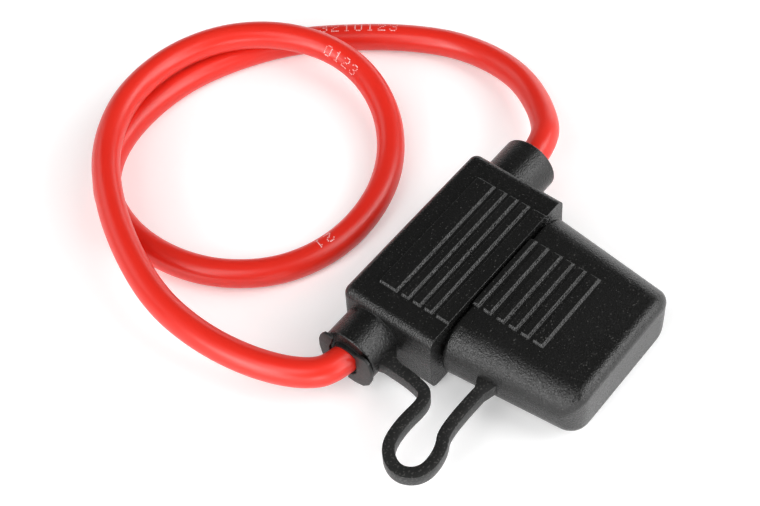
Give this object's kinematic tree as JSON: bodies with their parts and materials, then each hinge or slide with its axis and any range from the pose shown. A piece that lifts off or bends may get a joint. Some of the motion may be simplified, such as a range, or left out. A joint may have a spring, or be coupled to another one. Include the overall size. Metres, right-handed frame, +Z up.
{
  "type": "inline fuse holder",
  "caption": "Inline holder for a standard blade fuse: moulded body with side sleeves, pull-off ribbed cap on a looped tether, and an insulated lead coiled in one loop.",
  "frame": {"origin": "on the resting face, under the middle of the body", "axes": "X along the two sleeves, with the plain sleeve at +X and the one with the eared bush at -X; -Y from the body to the cap; +Z up from the resting face"},
  "size_m": [0.0843, 0.1061, 0.014],
  "materials": {
    "black_moulding": "fine spark-eroded satin, soft vinyl",
    "bush_plastic": "smooth satin",
    "red_insulation": "glossy vinyl insulation",
    "copper": "bare stranded copper",
    "tinned_brass": "dull tin plate"
  },
  "bodies": {
    "base": {"holder_body": "black_moulding", "tether": "black_moulding", "sleeve_bush": "bush_plastic", "wire_loop": "red_insulation", "wire_tail_left": "red_insulation", "wire_tail_right": "red_insulation", "copper_end_left": "copper", "copper_end_right": "copper", "contact_left": "tinned_brass", "contact_right": "tinned_brass"},
    "cap": {"cap": "black_moulding"}
  },
  "joints": [
    {"name": "cap_pull", "type": "slide", "parent": "base", "child": "cap", "axis": [0, -1, 0], "range_m": [0, 0.032], "deforming": ["tether"]}
  ]
}
